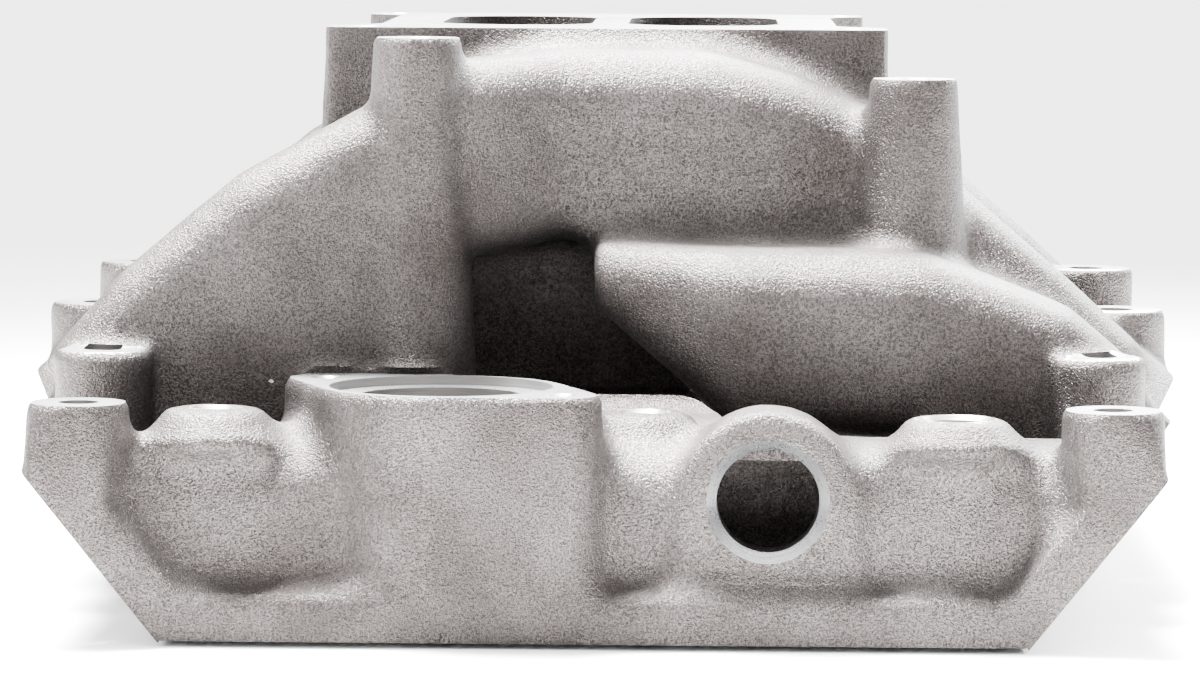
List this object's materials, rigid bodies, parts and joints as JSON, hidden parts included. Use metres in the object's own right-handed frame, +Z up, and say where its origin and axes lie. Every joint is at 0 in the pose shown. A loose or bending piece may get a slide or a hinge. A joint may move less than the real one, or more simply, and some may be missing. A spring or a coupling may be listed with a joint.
{
  "type": "intake manifold",
  "caption": "Dual-plane air-gap intake manifold for a V8, with a carburettor pad, crossed runners to slanted head flanges and a front water crossover.",
  "frame": {"origin": "bottom centre of the bounding box, under the middle of the head flanges", "axes": "+X towards the right-hand bank seen from the front, +Y towards the rear of the engine, +Z up"},
  "size_m": [0.309, 0.4407, 0.1514],
  "materials": {
    "sand_casting": "sand-cast, bare, fine grainy texture",
    "machined_casting": "sand-cast walls with milled faces"
  },
  "bodies": {
    "root": {"carb_flange": "machined_casting", "ear_pillars_front": "sand_casting", "ear_pillars_rear": "sand_casting", "plenum_upper": "sand_casting", "plenum_lower": "sand_casting", "plenum_divider": "sand_casting", "hood_front": "sand_casting", "hood_rear": "sand_casting", "runner_1": "sand_casting", "runner_2": "sand_casting", "runner_3": "sand_casting", "runner_4": "sand_casting", "runner_5": "sand_casting", "runner_6": "sand_casting", "runner_7": "sand_casting", "runner_8": "sand_casting", "head_flange_left": "machined_casting", "head_flange_right": "machined_casting", "head_bolt_towers_left": "sand_casting", "head_bolt_towers_right": "sand_casting", "end_rail_front": "sand_casting", "end_rail_rear": "sand_casting", "valley_floor": "sand_casting", "water_crossover_left": "sand_casting", "water_crossover_right": "sand_casting", "thermostat_neck": "machined_casting", "bypass_eye": "sand_casting", "sensor_boss": "sand_casting", "vent_boss": "sand_casting", "centre_boss": "sand_casting", "bracket_tower_tall": "sand_casting", "bracket_tower_short": "sand_casting"}
  },
  "joints": []
}
